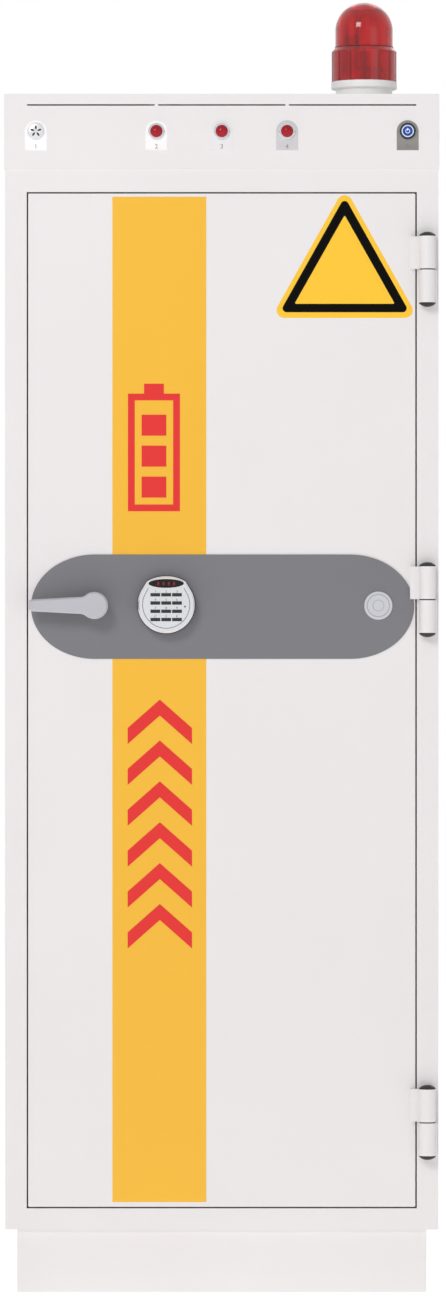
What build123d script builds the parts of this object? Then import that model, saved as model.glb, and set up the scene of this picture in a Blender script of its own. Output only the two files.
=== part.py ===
"""Fire-protected cabinet for storing and charging batteries, with an alarm hood and a rotating beacon.

Millimetres. The origin is the centre of the plinth's footprint on the floor, +Z is up, the door faces -Y.
"""
import os
from math import acos, atan2, cos, hypot, radians, sin, sqrt

from build123d import *

# ---------- body ----------
body_width = 700
body_depth = 640
body_height = 1713
plinth_height = 102
plinth_side_inset = 19
plinth_front_inset = 6
plinth_sheet = 3
plinth_lip = 25
anchor_spacing_x = 520
anchor_spacing_y = 480
anchor_hole_r = 7
sheet = 2
liner_sheet = 2
side_wall = 62
top_wall = 60
base_wall = 59
rear_wall = 60

# ---------- front frame and door ----------
frame_side = 35
frame_top = 37.5
frame_bottom = 34.4
door_thickness = 38
seal_thickness = 2.7
seal_gap = 0.3
seal_width = 12
seat_depth = 44
door_gap = 2.5
plug_depth = 40
plug_side_clearance = 10
plug_end_clearance = 5
strike_clearance = 2

# ---------- hinges ----------
hinge_end_rise = 174.3
hinge_end_drop = 163.2
hinge_middle_rise = 9.5
hinge_overhang = 16.9
hinge_standoff = 0.75
hinge_axis_inset = 0.3
knuckle_pad_inset = 3
knuckle_r = 13.25
knuckle_length = 52.6
hinge_cap = 7
hinge_cap_rim = 2
hinge_gap = 2
washer_thickness = 1.6
pin_r = 6
pin_end_gap = 1
pin_taper = 2
pin_fit = 0.06
leaf_reach = 27.6
leaf_thickness = 9
swing_gap = 0.6

# ---------- boltwork ----------
handle_inset = 144.8
handle_z = 1109.7
handle_travel = 90
bolt_travel = 22
cam_r = 52
cam_thickness = 6
cam_pin_orbit = 22
cam_pin_r = 4
cam_pin_fit = 0.2
cam_gap = 2
link_thickness = 6
link_width = 18
spindle_r = 6
spindle_fit = 0.08
bolt_r = 8
bolt_offsets = (-620, -230, 230, 620)
rod_r = 6
guide_fit = 0.5
bolt_stand = 1.5

# ---------- lever handle and fascia ----------
fascia_thickness = 1.5
fascia_left_inset = 42
fascia_right_inset = 39.6
fascia_half_height = 84.2
fascia_drop = 1.8
fascia_end = 103
hub_r = 21.8
lever_length = 105.1
lever_root = 30
lever_tip = 18.5
lever_tip_corner = 4
lever_standoff = 26
lever_thickness = 13
lever_flare = 14
badge_inset = 97.2
badge_r = 22.9
badge_thickness = 2.5

# ---------- keypad ----------
keypad_spacing = 115.7
keypad_rise = 1.3
keypad_r = 45.9
keypad_depth = 20
keypad_wall = 2.5
keypad_rim = 5
keypad_groove = 0.8
keypad_shoulder_x = 31
keypad_shoulder_z = 37.6
keypad_base_depth = 6
keypad_base_lip = 1.2
display_half_width = 28.4
display_half_height = 7.1
display_rise = 34.2
key_width = 15.2
key_height = 4.8
key_pitch_x = 17.4
key_pitch_z = 13.3
key_proud = 1.4
key_fit = 0.3
key_flange = 1
key_centre_drop = 4

# ---------- inside ----------
shelf_count = 4
shelf_sheet = 1.5
shelf_lip = 25
shelf_depth = 420
shelf_rear_gap = 12
upright_depth = 12
upright_width = 30
upright_sheet = 2
upright_pitch = 53
upright_offset = 165
shelf_side_gap = 2
clip_reach = 8
clip_height = 12
strip_margin = 68
strip_height = 46
strip_depth = 40
outlet_width = 36
outlet_height = 26
outlet_pitch = 70
outlet_depth = 3
strip_rise = 130
detector_r = 50
detector_height = 36

# ---------- hood ----------
hood_height = 121
hood_overhang = 1.5
hood_return = 14
device_rise = 60.5
label_half_width = 17.7
label_drop = 30.7
label_thickness = 0.8
lamp_pitch = 105.5
device_inset = 49.9
lamp_bezel_r = 13
bezel_stand = 4
bezel_edge = 1
lamp_lens_r = 10
lamp_barrel_r = 8
lens_rim = 2
lens_bulge = 6
device_barrel = 28
device_fit = 0.4
buzzer_r = 13.9
buzzer_stand = 3.5
button_r = 13.2
button_ring_r = 10.7
button_cap_r = 7
button_cap_thickness = 3
button_cap_fit = 0.2
button_travel = 2
vent_margin = 35.7
vent_bridge = 5.2
vent_height = 2.3
vent_drop = 18
louvre_width = 34
louvre_height = 4
screw_head_r = 4.5
screw_head = 2.4
screw_inset = 70
screw_rises = (13.6, 56.7)
gland_inset = 100
gland_bore_r = 7
gland_thread_r = 10
gland_nut_r = 15
gland_length = 26
gland_inner = 12

# ---------- beacon ----------
beacon_inset = 118.2
beacon_setback = 90
beacon_flange_r = 53.5
beacon_foot_r = 46
beacon_foot = 15
beacon_flange = 27
collar_r = 53
collar_height = 48.9
dome_r = 47
dome_rise = 110
shoulder_rise = 83
lens_wall = 2.5
turntable_rise = 45
turntable_thickness = 4
turntable_r = 36
post_r = 9
post_fit = 0.08
mirror_r = 31
mirror_sheet = 1.5
mirror_height = 52
bulb_r = 7
bulb_height = 25
motor_r = 12
motor_offset = 24

# ---------- hood electronics ----------
circuit_width = 160
circuit_depth = 110
circuit_thickness = 2
circuit_rise = 20
circuit_inset = 10
pillar_r = 4
part_height = 15
part_width = 16
part_depth = 20
terminal_depth = 12
supply_width = 160
supply_depth = 100
supply_height = 45
supply_inset = 60
supply_slot = 6

# ---------- places worked out from the sizes ----------
front = -body_depth / 2
back = body_depth / 2
side = body_width / 2
body_base = plinth_height
body_top = body_base + body_height
hood_top = body_top + hood_height
hood_side = side + hood_overhang
hood_front = front - hood_overhang
hood_back = back + hood_overhang
seat = front + door_thickness + seal_thickness + seal_gap
reveal_back = seat + seat_depth
cavity_side = side - side_wall
cavity_top = body_top - top_wall
cavity_base = body_base + base_wall
cavity_back = back - rear_wall
door_left = -side + frame_side + door_gap
door_right = side - frame_side - door_gap
door_base = body_base + frame_bottom + door_gap
door_top = body_top - frame_top - door_gap
door_back = front + door_thickness
plug_left = -cavity_side + plug_side_clearance
plug_right = cavity_side - plug_side_clearance
plug_base = cavity_base + plug_end_clearance
plug_top = cavity_top - plug_end_clearance
plug_back = door_back + plug_depth
hinge_x = side - frame_side + hinge_overhang - hinge_axis_inset
hinge_y = front - hinge_standoff - knuckle_r
fascia_front = front - fascia_thickness
device_z = body_top + device_rise
label_front = hood_front - label_thickness
handle_x = -side + handle_inset
keypad_x = handle_x + keypad_spacing
keypad_z = handle_z + keypad_rise
fascia_left = -side + fascia_left_inset
fascia_right = side - fascia_right_inset
fascia_z = handle_z - fascia_drop
badge_x = side - badge_inset
hinge_heights = (body_base + hinge_end_rise, handle_z + hinge_middle_rise, body_top - hinge_end_drop)
lamp_xs = (-lamp_pitch, 0, lamp_pitch)
buzzer_x = -side + device_inset
button_x = side - device_inset
beacon_x = side - beacon_inset
beacon_y = front + beacon_setback
gland_x = -side + gland_inset
vent_width = (2 * (side - vent_margin) - 2 * vent_bridge) / 3


def save(piece, name):
    """Labels a piece and writes its file."""
    piece.label = name
    export_step(piece, f"parts/{name}.step")


def block(x, y, z, mode=Mode.ADD):
    """A box between two limits on each axis."""
    with Locations(((x[0] + x[1]) / 2, (y[0] + y[1]) / 2, (z[0] + z[1]) / 2)):
        Box(x[1] - x[0], y[1] - y[0], z[1] - z[0], mode=mode)


def facing(y):
    """An upright plane at depth y that looks out of the front, with sketch y as height."""
    return Plane.XZ.offset(-y)


def turn_y(x, z, outline, mode=Mode.ADD):
    """Revolves (radius, depth) points about an axis along Y."""
    with BuildSketch(Plane.XY.offset(z)) as profile:
        with BuildLine():
            Polyline(*[(x + r, y) for r, y in outline], close=True)
        make_face()
    revolve(profile.sketch, axis=Axis((x, 0, z), (0, 1, 0)), mode=mode)


def turn_z(x, y, outline, mode=Mode.ADD):
    """Revolves (radius, height) points about an upright axis."""
    with BuildSketch(facing(y)) as profile:
        with BuildLine():
            Polyline(*[(x + r, z) for r, z in outline], close=True)
        make_face()
    revolve(profile.sketch, axis=Axis((x, y, 0), (0, 0, 1)), mode=mode)


def dome_points(r, height):
    """Start, middle and end (radius, rise) of a spherical cap's outline."""
    ball = (r * r + height * height) / (2 * height)
    half = atan2(r, ball - height) / 2
    return ((r, 0), (ball * sin(half), ball * cos(half) - ball + height), (0, height))


def rod_y(x, z, r, y0, y1, mode=Mode.ADD):
    """A round bar or hole along Y."""
    turn_y(x, z, ((0, y0), (r, y0), (r, y1), (0, y1)), mode)


def rod_z(x, y, r, z0, z1, mode=Mode.ADD):
    """A round bar or hole along Z."""
    turn_z(x, y, ((0, z0), (r, z0), (r, z1), (0, z1)), mode)


def rod_x(y, z, r, x0, x1, mode=Mode.ADD):
    """A round bar or hole along X."""
    with BuildSketch(Plane.YZ.offset(x0)) as profile:
        with Locations((y, z)):
            Circle(r)
    extrude(profile.sketch, amount=x1 - x0, mode=mode)


def frame_ring(y, depth, outer, inner, mode=Mode.ADD):
    """A rectangular ring between two (left, right, base, top) outlines, extruded back from depth y."""
    with BuildSketch(facing(y)) as profile:
        for edge, cut in ((outer, Mode.ADD), (inner, Mode.SUBTRACT)):
            with Locations(((edge[0] + edge[1]) / 2, (edge[2] + edge[3]) / 2)):
                Rectangle(edge[1] - edge[0], edge[3] - edge[2], mode=cut)
    extrude(profile.sketch, amount=-depth, mode=mode)


def joined(builders):
    """Separate solids kept as one group."""
    return Compound([solid for builder in builders for solid in builder.part.solids()])


os.makedirs("parts", exist_ok=True)

# ================= plinth and casing =================
plinth_side = side - plinth_side_inset
plinth_front = front + plinth_front_inset
with BuildPart() as plinth:
    block((-plinth_side, plinth_side), (plinth_front, -plinth_front), (0, plinth_height))
    inner = (plinth_side - plinth_sheet, -plinth_front - plinth_sheet)
    block(
        (-inner[0], inner[0]),
        (-inner[1], inner[1]),
        (plinth_sheet, plinth_height - plinth_sheet),
        Mode.SUBTRACT,
    )
    mouth = (inner[0] - plinth_lip, inner[1] - plinth_lip)
    block((-mouth[0], mouth[0]), (-mouth[1], mouth[1]), (plinth_sheet, plinth_height), Mode.SUBTRACT)
    with BuildSketch():
        with GridLocations(anchor_spacing_x, anchor_spacing_y, 2, 2):
            Circle(anchor_hole_r)
    extrude(amount=plinth_sheet, mode=Mode.SUBTRACT)
save(plinth.part, "plinth")

with BuildPart() as outer_casing:
    block((-side, side), (seat, back), (body_base, body_top))
    block(
        (-side + sheet, side - sheet),
        (seat, back - sheet),
        (body_base + sheet, body_top - sheet),
        Mode.SUBTRACT,
    )
save(outer_casing.part, "outer_casing")

with BuildPart() as inner_liner:
    skin_side = cavity_side + liner_sheet
    skin = ((-skin_side, skin_side), (cavity_base - liner_sheet, cavity_top + liner_sheet))
    block(skin[0], (reveal_back, cavity_back + liner_sheet), skin[1])
    block((-cavity_side, cavity_side), (reveal_back, cavity_back), (cavity_base, cavity_top), Mode.SUBTRACT)
save(inner_liner.part, "inner_liner")

board_side = (side - sheet, cavity_side + liner_sheet)
board_base = (body_base + sheet, cavity_base - liner_sheet)
board_top = (cavity_top + liner_sheet, body_top - sheet)
boards = []
for board_x, board_y, board_z in (
    ((-board_side[0], -board_side[1]), (reveal_back, back - sheet), (board_base[0], board_top[1])),
    ((board_side[1], board_side[0]), (reveal_back, back - sheet), (board_base[0], board_top[1])),
    ((-board_side[1], board_side[1]), (reveal_back, back - sheet), board_base),
    ((-board_side[1], board_side[1]), (reveal_back, back - sheet), board_top),
    (
        (-board_side[1], board_side[1]),
        (cavity_back + liner_sheet, back - sheet),
        (board_base[1], board_top[0]),
    ),
):
    with BuildPart() as board:
        block(board_x, board_y, board_z)
    boards.append(board)
save(joined(boards), "fire_boards")

# ================= front frame: folded channels, open to the rear =================
bolt_y = door_back + 2 * cam_gap + cam_thickness + link_thickness / 2
bolt_heights = [handle_z + offset for offset in bolt_offsets]
outer_x = side - frame_side
rail_z = (body_base + frame_bottom, body_top - frame_top)
seat_side = side - sheet
channels = []
for rail_x, rail_y, rail_zs in (
    ((-side, -outer_x), (front, seat), (body_base, body_top)),
    ((outer_x, side), (front, seat), (body_base, body_top)),
    ((-outer_x, outer_x), (front, seat), (body_base, rail_z[0])),
    ((-outer_x, outer_x), (front, seat), (rail_z[1], body_top)),
    ((-seat_side, -cavity_side), (seat, reveal_back), (body_base + sheet, body_top - sheet)),
    ((cavity_side, seat_side), (seat, reveal_back), (body_base + sheet, body_top - sheet)),
    ((-cavity_side, cavity_side), (seat, reveal_back), (body_base + sheet, cavity_base)),
    ((-cavity_side, cavity_side), (seat, reveal_back), (cavity_top, body_top - sheet)),
):
    with BuildPart() as rail:
        block(rail_x, rail_y, rail_zs)
        block(
            (rail_x[0] + sheet, rail_x[1] - sheet),
            (rail_y[0] + sheet, rail_y[1]),
            (rail_zs[0] + sheet, rail_zs[1] - sheet),
            Mode.SUBTRACT,
        )
        if rail_x == (-seat_side, -cavity_side):
            for height in bolt_heights:
                rod_x(
                    bolt_y,
                    height,
                    bolt_r + strike_clearance,
                    -cavity_side - sheet,
                    -cavity_side,
                    Mode.SUBTRACT,
                )
        if rail_x == (-cavity_side, cavity_side):
            for face in (cavity_base - sheet, cavity_top):
                rod_z(handle_x, bolt_y, rod_r + strike_clearance, face, face + sheet, Mode.SUBTRACT)
    channels.append(rail)
save(joined(channels), "front_frame")

seal_side = cavity_side + seal_width
with BuildPart() as frame_seal:
    frame_ring(
        seat - seal_thickness,
        seal_thickness,
        (-seal_side - seal_width, seal_side + seal_width, cavity_base - seal_width, cavity_top + seal_width),
        (-seal_side, seal_side, cavity_base - seal_width / 3, cavity_top + seal_width / 3),
    )
    fillet(frame_seal.edges().filter_by(Axis.Y), seal_width / 4)
save(frame_seal.part, "frame_seal")

# ================= inside: uprights, shelves, sockets, detector =================
shelf_step = (cavity_top - cavity_base) / (shelf_count + 1)
shelf_levels = [cavity_base + shelf_step * (step + 1) for step in range(shelf_count)]
shelf_back = cavity_back - shelf_rear_gap
shelf_middle = shelf_back - shelf_depth / 2
upright_face = cavity_side - upright_depth
upright_ys = (shelf_middle - upright_offset, shelf_middle + upright_offset)
slot_count = int((cavity_top - cavity_base) / upright_pitch) - 1
with BuildPart() as shelf_uprights:
    for hand in (-1, 1):
        for upright_y in upright_ys:
            xs = sorted((hand * cavity_side, hand * upright_face))
            ys = (upright_y - upright_width / 2, upright_y + upright_width / 2)
            block(xs, ys, (cavity_base, cavity_top))
            xs = sorted((hand * cavity_side, hand * (upright_face + upright_sheet)))
            block(
                xs,
                (ys[0] + upright_sheet, ys[1] - upright_sheet),
                (cavity_base, cavity_top),
                Mode.SUBTRACT,
            )
    with Locations((0, shelf_middle, (cavity_base + cavity_top) / 2)):
        with GridLocations(0, 2 * upright_offset, 1, 2):
            with Locations(*[(0, 0, upright_pitch * (i - (slot_count - 1) / 2)) for i in range(slot_count)]):
                Box(2 * cavity_side, upright_width / 4, upright_pitch / 3, mode=Mode.SUBTRACT)
save(shelf_uprights.part, "shelf_uprights")

shelf_side = upright_face - shelf_side_gap
deck_slots = 5
with BuildPart() as shelves:
    for level in shelf_levels:
        ys = (shelf_back - shelf_depth, shelf_back)
        block((-shelf_side, shelf_side), ys, (level - shelf_lip, level))
        block(
            (-shelf_side + shelf_sheet, shelf_side - shelf_sheet),
            (ys[0] + shelf_sheet, ys[1] - shelf_sheet),
            (level - shelf_lip, level - shelf_sheet),
            Mode.SUBTRACT,
        )
        with Locations((0, shelf_middle, level)):
            with GridLocations(2 * shelf_side / deck_slots, shelf_depth / 3, deck_slots, 2):
                Box(shelf_side / deck_slots, shelf_depth / 16, 3 * shelf_sheet, mode=Mode.SUBTRACT)
save(shelves.part, "shelves")

with BuildPart() as shelf_clips:
    for hand in (-1, 1):
        for clip_y in upright_ys:
            for level in shelf_levels:
                with BuildSketch(facing(clip_y + upright_width / 4)):
                    with BuildLine():
                        Polyline(
                            (hand * upright_face, level - shelf_lip),
                            (hand * (upright_face - clip_reach), level - shelf_lip),
                            (hand * (upright_face - clip_reach), level - shelf_lip - clip_height / 3),
                            (hand * upright_face, level - shelf_lip - clip_height),
                            close=True,
                        )
                    make_face()
                extrude(amount=upright_width / 2)
save(shelf_clips.part, "shelf_clips")

strip_levels = [cavity_base + shelf_step * step + strip_rise for step in range(shelf_count + 1)]
strip_side = cavity_side - strip_margin
outlet_count = int(2 * strip_side / outlet_pitch)
with BuildPart() as socket_strips:
    for level in strip_levels:
        with BuildSketch(Plane.YZ.offset(-strip_side)):
            with Locations((cavity_back - strip_depth / 2, level)):
                Rectangle(strip_depth, strip_height)
        extrude(amount=2 * strip_side)
    chamfer(socket_strips.edges().filter_by(Axis.X).group_by(Axis.Y)[0], strip_height / 8)
    with BuildSketch(facing(cavity_back - strip_depth)):
        for level in strip_levels:
            with Locations((0, level)):
                with GridLocations(outlet_pitch, 0, outlet_count, 1):
                    Rectangle(outlet_width, outlet_height)
    extrude(amount=-outlet_depth, mode=Mode.SUBTRACT)
save(socket_strips.part, "socket_strips")

with BuildPart() as smoke_detector:
    ceiling = cavity_top
    turn_z(
        0,
        shelf_middle,
        (
            (0, ceiling),
            (detector_r, ceiling),
            (detector_r, ceiling - detector_height / 3),
            (0.8 * detector_r, ceiling - detector_height / 2),
            (0.6 * detector_r, ceiling - detector_height),
            (0, ceiling - detector_height),
        ),
    )
save(smoke_detector.part, "smoke_detector")

# ================= hood =================
screw_spots = [
    (hand, screw_y, body_top + rise)
    for hand in (-1, 1)
    for screw_y in (front + screw_inset, back - screw_inset)
    for rise in screw_rises
]
with BuildPart() as hood_shell:
    block((-hood_side, hood_side), (hood_front, hood_back), (body_top, hood_top))
    block(
        (-hood_side + sheet, hood_side - sheet),
        (hood_front + sheet, hood_back - sheet),
        (body_top + sheet, hood_top - sheet),
        Mode.SUBTRACT,
    )
    inside = hood_side - hood_return
    block(
        (-inside, inside),
        (hood_front + hood_return, hood_back - hood_return),
        (body_top, body_top + sheet),
        Mode.SUBTRACT,
    )
    block(
        (-inside, inside),
        (hood_back - sheet, hood_back),
        (body_top + hood_return, hood_top - hood_return),
        Mode.SUBTRACT,
    )
    with BuildSketch(facing(hood_front)):
        with Locations((0, hood_top - vent_drop)):
            with GridLocations(vent_width + vent_bridge, 0, 3, 1):
                SlotOverall(vent_width, vent_height)
        for lamp_x in lamp_xs:
            with Locations((lamp_x, device_z)):
                Circle(lamp_barrel_r + device_fit)
        with Locations((buzzer_x, device_z), (button_x, device_z)):
            Circle(button_ring_r + device_fit)
    extrude(amount=-sheet, mode=Mode.SUBTRACT)
    with BuildSketch(Plane.XY.offset(hood_top - sheet)):
        with Locations((beacon_x, beacon_y)):
            Circle(post_r)
    extrude(amount=sheet, mode=Mode.SUBTRACT)
save(hood_shell.part, "hood_shell")

gland_z = body_top + hood_height / 2
with BuildPart() as hood_rear_cover:
    cover = hood_side - sheet - 1
    block(
        (-cover, cover),
        (hood_back - 2 * sheet, hood_back - sheet),
        (body_top + 2 * sheet, hood_top - 2 * sheet),
    )
    with BuildSketch(facing(hood_back - 2 * sheet)):
        with Locations((0, gland_z)):
            with GridLocations(1.6 * louvre_width, 5 * louvre_height, 5, 3):
                Rectangle(louvre_width, louvre_height)
        with Locations((gland_x, gland_z)):
            Circle(gland_thread_r + device_fit)
    extrude(amount=-sheet, mode=Mode.SUBTRACT)
save(hood_rear_cover.part, "hood_rear_cover")

with BuildPart() as cable_gland:
    cover_back = hood_back - sheet
    turn_y(
        gland_x,
        gland_z,
        (
            (gland_bore_r, cover_back - sheet - gland_inner),
            (gland_thread_r, cover_back - sheet - gland_inner),
            (gland_thread_r, cover_back),
            (gland_nut_r, cover_back),
            (gland_nut_r, cover_back + gland_length * 0.7),
            (gland_thread_r, cover_back + gland_length),
            (gland_bore_r, cover_back + gland_length),
        ),
    )
save(cable_gland.part, "cable_gland")

with BuildPart() as hood_screws:
    for hand, screw_y, screw_z in screw_spots:
        rod_x(screw_y, screw_z, screw_head_r, hand * hood_side, hand * (hood_side + screw_head))
save(hood_screws.part, "hood_screws")

# ---------- hood devices ----------
barrel_back = hood_front + device_barrel
with BuildPart() as label_plates:
    with BuildSketch(facing(hood_front)):
        for device_x in (buzzer_x, *lamp_xs, button_x):
            with Locations((device_x, device_z)):
                Circle(label_half_width)
            with Locations((device_x, device_z - label_drop / 2)):
                Rectangle(2 * label_half_width, label_drop)
        for lamp_x in lamp_xs:
            with Locations((lamp_x, device_z)):
                Circle(lamp_barrel_r, mode=Mode.SUBTRACT)
        with Locations((buzzer_x, device_z), (button_x, device_z)):
            Circle(button_ring_r, mode=Mode.SUBTRACT)
    extrude(amount=label_thickness)
save(label_plates.part, "label_plates")

with BuildPart() as buzzer:
    turn_y(
        buzzer_x,
        device_z,
        (
            (0, label_front - buzzer_stand),
            (0.55 * buzzer_r, label_front - buzzer_stand),
            (0.85 * buzzer_r, label_front - 2.6),
            (buzzer_r, label_front - 1),
            (buzzer_r, label_front),
            (button_ring_r, label_front),
            (button_ring_r, barrel_back),
            (0, barrel_back),
        ),
    )
    with BuildSketch(facing(label_front - buzzer_stand)):
        with Locations((buzzer_x, device_z)):
            with PolarLocations(0.32 * buzzer_r, 5, start_angle=90):
                SlotOverall(0.42 * buzzer_r, 0.12 * buzzer_r)
    extrude(amount=-2, mode=Mode.SUBTRACT)
save(buzzer.part, "buzzer")

lens_seat = label_front - 2.5
with BuildPart() as lamp_holders:
    for lamp_x in lamp_xs:
        turn_y(
            lamp_x,
            device_z,
            (
                (0, lens_seat),
                (lamp_lens_r, lens_seat),
                (lamp_lens_r, label_front - bezel_stand),
                (lamp_bezel_r - bezel_edge, label_front - bezel_stand),
                (lamp_bezel_r, label_front - bezel_stand + bezel_edge),
                (lamp_bezel_r, label_front),
                (lamp_barrel_r, label_front),
                (lamp_barrel_r, barrel_back),
                (0, barrel_back),
            ),
        )
save(lamp_holders.part, "lamp_holders")

with BuildPart() as lamp_lenses:
    for lamp_x in lamp_xs:
        with BuildSketch(Plane.XY.offset(device_z)):
            rim = lens_seat - lens_rim
            with BuildLine():
                Polyline(
                    (lamp_x, rim - lens_bulge),
                    (lamp_x, lens_seat),
                    (lamp_x + lamp_lens_r, lens_seat),
                    (lamp_x + lamp_lens_r, rim),
                )
                dome = dome_points(lamp_lens_r, lens_bulge)
                ThreePointArc(*[(lamp_x + r, rim - rise) for r, rise in dome])
            make_face()
        revolve(axis=Axis((lamp_x, 0, device_z), (0, 1, 0)))
save(lamp_lenses.part, "lamp_lenses")

cap_rest = label_front - bezel_stand
well_floor = cap_rest + button_cap_thickness + button_travel + 1
with BuildPart() as button_body:
    turn_y(
        button_x,
        device_z,
        (
            (0, well_floor),
            (button_cap_r + button_cap_fit, well_floor),
            (button_cap_r + button_cap_fit, label_front - bezel_stand - bezel_edge),
            (button_ring_r, label_front - bezel_stand - bezel_edge),
            (button_ring_r, label_front - bezel_stand),
            (button_r - bezel_edge, label_front - bezel_stand),
            (button_r, label_front - bezel_stand + bezel_edge),
            (button_r, label_front),
            (button_ring_r, label_front),
            (button_ring_r, barrel_back),
            (0, barrel_back),
        ),
    )
save(button_body.part, "button_body")

with BuildPart() as power_button_cap:
    rod_y(button_x, device_z, button_cap_r, cap_rest, cap_rest + button_cap_thickness)
save(power_button_cap.part, "power_button_cap")

circuit_z = body_top + circuit_rise
with BuildPart() as board_pillars:
    with BuildSketch(Plane.XY.offset(body_top)):
        with GridLocations(circuit_width - 2 * circuit_inset, circuit_depth - 2 * circuit_inset, 2, 2):
            Rectangle(2 * pillar_r, 2 * pillar_r)
    extrude(amount=circuit_rise)
with BuildPart() as circuit_plate:
    with BuildSketch(Plane.XY.offset(circuit_z)):
        Rectangle(circuit_width, circuit_depth)
    extrude(amount=circuit_thickness)
with BuildPart() as circuit_parts:
    with BuildSketch(Plane.XY.offset(circuit_z + circuit_thickness)):
        with Locations((0, circuit_inset)):
            with GridLocations(1.6 * part_width, 1.4 * part_depth, 5, 2):
                Rectangle(part_width, part_depth)
        with Locations((0, terminal_depth - circuit_depth / 2)):
            Rectangle(circuit_width - 4 * circuit_inset, terminal_depth)
    extrude(amount=part_height)
save(joined((board_pillars, circuit_plate, circuit_parts)), "control_board")

with BuildPart() as power_supply:
    right = side - supply_inset
    supply_x = right - supply_width / 2
    supply_top = body_top + supply_height
    block((right - supply_width, right), (-supply_depth / 2, supply_depth / 2), (body_top, supply_top))
    with BuildSketch(Plane.XY.offset(supply_top)):
        with Locations((supply_x, 0)):
            with GridLocations(3 * supply_slot, supply_depth / 3, 7, 2):
                Rectangle(supply_slot, supply_depth / 4)
    extrude(amount=-sheet, mode=Mode.SUBTRACT)
save(power_supply.part, "power_supply")

# ================= beacon =================
with BuildPart() as beacon_base:
    z = hood_top
    turn_z(
        beacon_x,
        beacon_y,
        (
            (0, z),
            (beacon_foot_r, z),
            (beacon_foot_r, z + beacon_foot - 1),
            (beacon_flange_r - 1, z + beacon_foot),
            (beacon_flange_r, z + beacon_foot + 1),
            (beacon_flange_r, z + beacon_flange - 1),
            (beacon_flange_r - 1, z + beacon_flange),
            (0, z + beacon_flange),
        ),
    )
save(beacon_base.part, "beacon_base")

lens_base = hood_top + beacon_flange
collar_top = lens_base + collar_height
dome_base = hood_top + dome_rise
with BuildPart() as beacon_lens:
    with BuildSketch(facing(beacon_y)):
        with BuildLine():
            Polyline(
                (beacon_x, dome_base + dome_r),
                (beacon_x, lens_base),
                (beacon_x + collar_r, lens_base),
                (beacon_x + collar_r, collar_top),
                (beacon_x + dome_r, hood_top + shoulder_rise),
                (beacon_x + dome_r, dome_base),
            )
            ThreePointArc(*[(beacon_x + r, dome_base + rise) for r, rise in dome_points(dome_r, dome_r)])
        make_face()
    revolve(axis=Axis((beacon_x, beacon_y, 0), (0, 0, 1)))
    hollow_r = dome_r - lens_wall
    turn_z(
        beacon_x,
        beacon_y,
        (
            (0, lens_base),
            (collar_r - lens_wall, lens_base),
            (collar_r - lens_wall, collar_top - lens_wall),
            (hollow_r, hood_top + shoulder_rise - lens_wall),
            (hollow_r, dome_base),
            (hollow_r * cos(radians(40)), dome_base + hollow_r * sin(radians(40))),
            (hollow_r * cos(radians(75)), dome_base + hollow_r * sin(radians(75))),
            (0, dome_base + hollow_r * sin(radians(75))),
        ),
        Mode.SUBTRACT,
    )
save(beacon_lens.part, "beacon_lens")

turntable = hood_top + turntable_rise
motor_x = beacon_x + motor_offset
with BuildPart() as beacon_post:
    post_top = turntable + turntable_thickness + 10
    rod_z(beacon_x, beacon_y, post_r, lens_base, post_top)
    bulb_top = post_top + bulb_height
    turn_z(
        beacon_x,
        beacon_y,
        (
            (0, post_top),
            (bulb_r, post_top),
            (bulb_r, bulb_top - bulb_r),
            (bulb_r / 2, bulb_top),
            (0, bulb_top),
        ),
    )
with BuildPart() as beacon_motor:
    rod_z(motor_x, beacon_y, motor_r, lens_base, turntable - 2)
save(joined((beacon_post, beacon_motor)), "beacon_lamp_and_motor")

with BuildPart() as beacon_reflector:
    bore = post_r + post_fit
    turn_z(
        beacon_x,
        beacon_y,
        (
            (bore, turntable),
            (turntable_r, turntable),
            (turntable_r, turntable + turntable_thickness),
            (bore, turntable + turntable_thickness),
        ),
    )
    with BuildSketch(Plane.XY.offset(turntable + turntable_thickness)):
        with Locations((beacon_x, beacon_y)):
            Circle(mirror_r)
            Circle(mirror_r - mirror_sheet, mode=Mode.SUBTRACT)
        with Locations((beacon_x + mirror_r - 8, beacon_y)):
            Rectangle(2 * mirror_r, 2 * mirror_r, mode=Mode.SUBTRACT)
    extrude(amount=mirror_height)
save(beacon_reflector.part, "beacon_reflector")

# ================= hinges: the lower knuckle is on the frame, the upper one lifts off =================
half_gap = hinge_gap / 2
with BuildPart() as hinge_frame_knuckles:
    for level in hinge_heights:
        z = (level - half_gap - knuckle_length, level - half_gap)
        rod_z(hinge_x, hinge_y, knuckle_r, *z)
        block((hinge_x - 0.6 * knuckle_r, side - knuckle_pad_inset), (hinge_y, front), z)
        rod_z(hinge_x, hinge_y, pin_r, *z, Mode.SUBTRACT)
save(hinge_frame_knuckles.part, "hinge_frame_knuckles")

with BuildPart() as hinge_door_knuckles:
    for level in hinge_heights:
        z = (level + half_gap, level + half_gap + knuckle_length)
        rod_z(hinge_x, hinge_y, knuckle_r, *z)
        arm_front = front - swing_gap - leaf_thickness
        block((hinge_x - leaf_reach, hinge_x), (arm_front, front - swing_gap), z)
        block((hinge_x - leaf_reach, door_right), (front - swing_gap, front), z)
        rod_z(hinge_x, hinge_y, pin_r + pin_fit, *z, Mode.SUBTRACT)
save(hinge_door_knuckles.part, "hinge_door_knuckles")

with BuildPart() as hinge_pins:
    for level in hinge_heights:
        z = level - half_gap
        turn_z(
            hinge_x,
            hinge_y,
            (
                (0, z - knuckle_length),
                (pin_r, z - knuckle_length),
                (pin_r, z),
                (0.7 * knuckle_r, z),
                (0.7 * knuckle_r, z + washer_thickness),
                (pin_r, z + washer_thickness),
                (pin_r, z + knuckle_length - pin_end_gap - pin_taper),
                (pin_r - pin_taper, z + knuckle_length - pin_end_gap),
                (0, z + knuckle_length - pin_end_gap),
            ),
        )
save(hinge_pins.part, "hinge_pins")


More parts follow.
